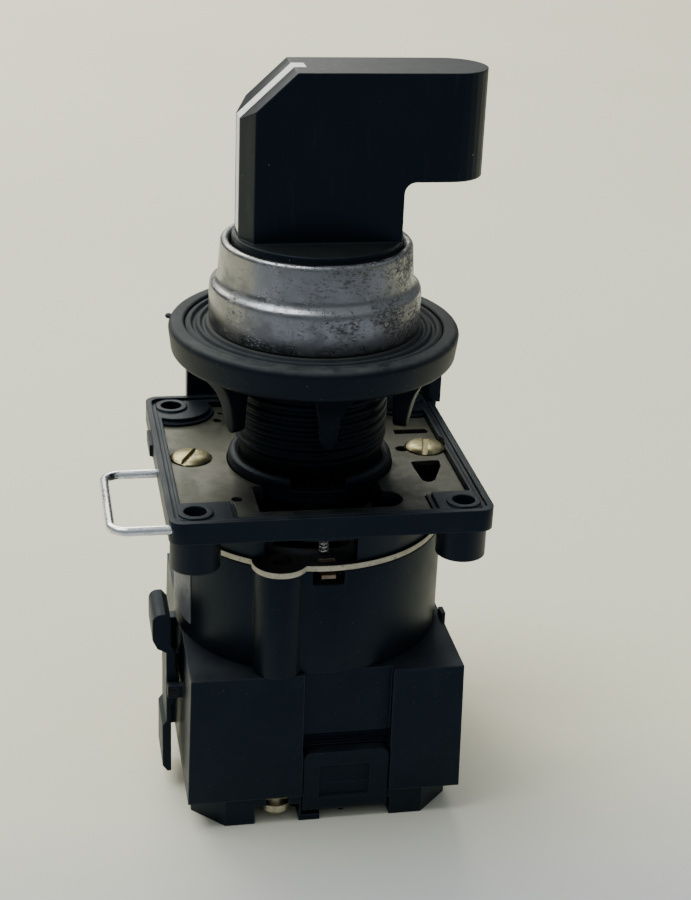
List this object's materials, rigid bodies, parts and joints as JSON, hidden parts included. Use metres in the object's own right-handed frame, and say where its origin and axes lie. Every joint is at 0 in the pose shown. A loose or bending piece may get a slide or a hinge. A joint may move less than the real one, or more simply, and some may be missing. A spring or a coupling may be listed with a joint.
{
  "type": "selector switch",
  "caption": "Panel selector switch: black lever handle in a metal bezel, ring nut and square mounting frame over a cam housing and contact block.",
  "frame": {"origin": "centre of the four corner holes of the mounting frame, on the top plane of its rim, on the axis of the handle", "axes": "+Z along the turning axis from the contact block towards the handle; -Y is the front, where the latch and the window are; -X is the side of the wire bail and of the handle indicator at rest"},
  "size_m": [0.0548, 0.0474, 0.1075],
  "materials": {
    "handle_plastic": "fine moulded texture, matt black",
    "indicator_white": "matt white insert",
    "shaft_steel": "turned steel",
    "acetal": "natural acetal",
    "bezel_metal": "satin cast metal, worn and pitted",
    "neck_plastic": "glossy black thread",
    "bush_bronze": "sintered bronze",
    "seal_rubber": "nitrile",
    "spring_steel": "bright spring wire",
    "gasket_rubber": "dusty black rubber",
    "washer_plastic": "low friction sheet",
    "nut_plastic": "dusty dark grey moulding",
    "socket_plastic": "semi-matt black moulding",
    "frame_plastic": "semi-matt black moulding",
    "floor_metal": "olive-grey passivated sheet",
    "screw_brass": "tarnished brass",
    "bail_steel": "bright spring wire",
    "insulating_sheet": "cream fibre sheet",
    "copper": "bare copper",
    "housing_plastic": "semi-matt black moulding",
    "label_paper": "plain grey-white sticker",
    "screw_steel": "zinc-plated steel",
    "terminal_metal": "nickel-plated brass",
    "block_plastic": "semi-matt black moulding",
    "latch_plastic": "semi-matt black moulding"
  },
  "bodies": {
    "base": {"operator_body": "neck_plastic", "bezel": "bezel_metal", "bearing_bush": "bush_bronze", "shaft_seal": "seal_rubber", "detent_spring": "spring_steel", "panel_gasket": "gasket_rubber", "socket_ring": "socket_plastic", "mounting_frame": "frame_plastic", "floor_plate": "floor_metal", "plate_screws": "screw_brass", "insulating_plate": "insulating_sheet", "earth_spring": "spring_steel", "earth_tab": "copper", "cam_housing": "housing_plastic", "side_label": "label_paper", "through_screws": "screw_steel", "return_spring_a": "spring_steel", "return_spring_b": "spring_steel", "contact_block": "block_plastic", "fixed_contacts": "screw_brass", "terminal_screws": "terminal_metal", "base_cover": "block_plastic", "side_latch_pin": "screw_steel"},
    "knob": {"handle": "handle_plastic", "indicator_strip": "indicator_white", "drive_shaft": "shaft_steel", "detent_star": "acetal", "retaining_clip": "spring_steel", "drive_cam": "acetal"},
    "detent": {"detent_ball": "shaft_steel"},
    "nut_washer": {"slip_washer": "washer_plastic"},
    "nut": {"ring_nut": "nut_plastic"},
    "bail": {"wire_bail": "bail_steel"},
    "plunger_a_set": {"plunger_a": "acetal", "bridge_a": "copper"},
    "plunger_b_set": {"plunger_b": "acetal", "bridge_b": "copper"},
    "front_latch_arm": {"front_latch": "latch_plastic"},
    "side_latch_arm": {"side_latch": "latch_plastic"}
  },
  "joints": [
    {"name": "knob_turn", "type": "hinge", "parent": "base", "child": "knob", "pos_m": [0, 0, 0.0332], "axis": [0, 0, 1], "range_deg": [-45, 45]},
    {"name": "detent_press", "type": "slide", "parent": "base", "child": "detent", "axis": [0, 1, 0], "range_m": [0, 0.0008], "stiffness_N_per_m": 100, "deforming": ["detent_spring"]},
    {"name": "plunger_a_slide", "type": "slide", "parent": "base", "child": "plunger_a_set", "axis": [0, 0, 1], "range_m": [-0.0015, 0.0015], "stiffness_N_per_m": 2, "springref_m": 0.00468, "deforming": ["return_spring_a"]},
    {"name": "plunger_b_slide", "type": "slide", "parent": "base", "child": "plunger_b_set", "axis": [0, 0, 1], "range_m": [-0.0015, 0.0015], "stiffness_N_per_m": 2, "springref_m": 0.00468, "deforming": ["return_spring_b"]},
    {"name": "washer_slide", "type": "slide", "parent": "base", "child": "nut_washer", "axis": [0, 0, -1], "range_m": [0, 0.006]},
    {"name": "nut_turn", "type": "hinge", "parent": "nut_washer", "child": "nut", "pos_m": [0, 0, 0.0157], "axis": [0, 0, -1], "range_deg": [0, 1440]},
    {"name": "bail_pull", "type": "slide", "parent": "base", "child": "bail", "axis": [-1, 0, 0], "range_m": [0, 0.004]},
    {"name": "front_latch_flex", "type": "hinge", "parent": "base", "child": "front_latch_arm", "pos_m": [0.0035, -0.0193, -0.04885], "axis": [1, 0, 0], "range_deg": [0, 6], "stiffness_Nm_per_rad": 0.05},
    {"name": "side_latch_rock", "type": "hinge", "parent": "base", "child": "side_latch_arm", "pos_m": [-0.0209, -0.0053, -0.0335], "axis": [0, -1, 0], "range_deg": [0, 4], "stiffness_Nm_per_rad": 0.05}
  ],
  "couplings": [
    {"joint": "knob_turn", "follows": "plunger_b_slide", "rad_per_m": 523.59},
    {"joint": "plunger_a_slide", "follows": "plunger_b_slide", "ratio": -1},
    {"joint": "nut_turn", "follows": "washer_slide", "rad_per_m": 4188.7}
  ]
}
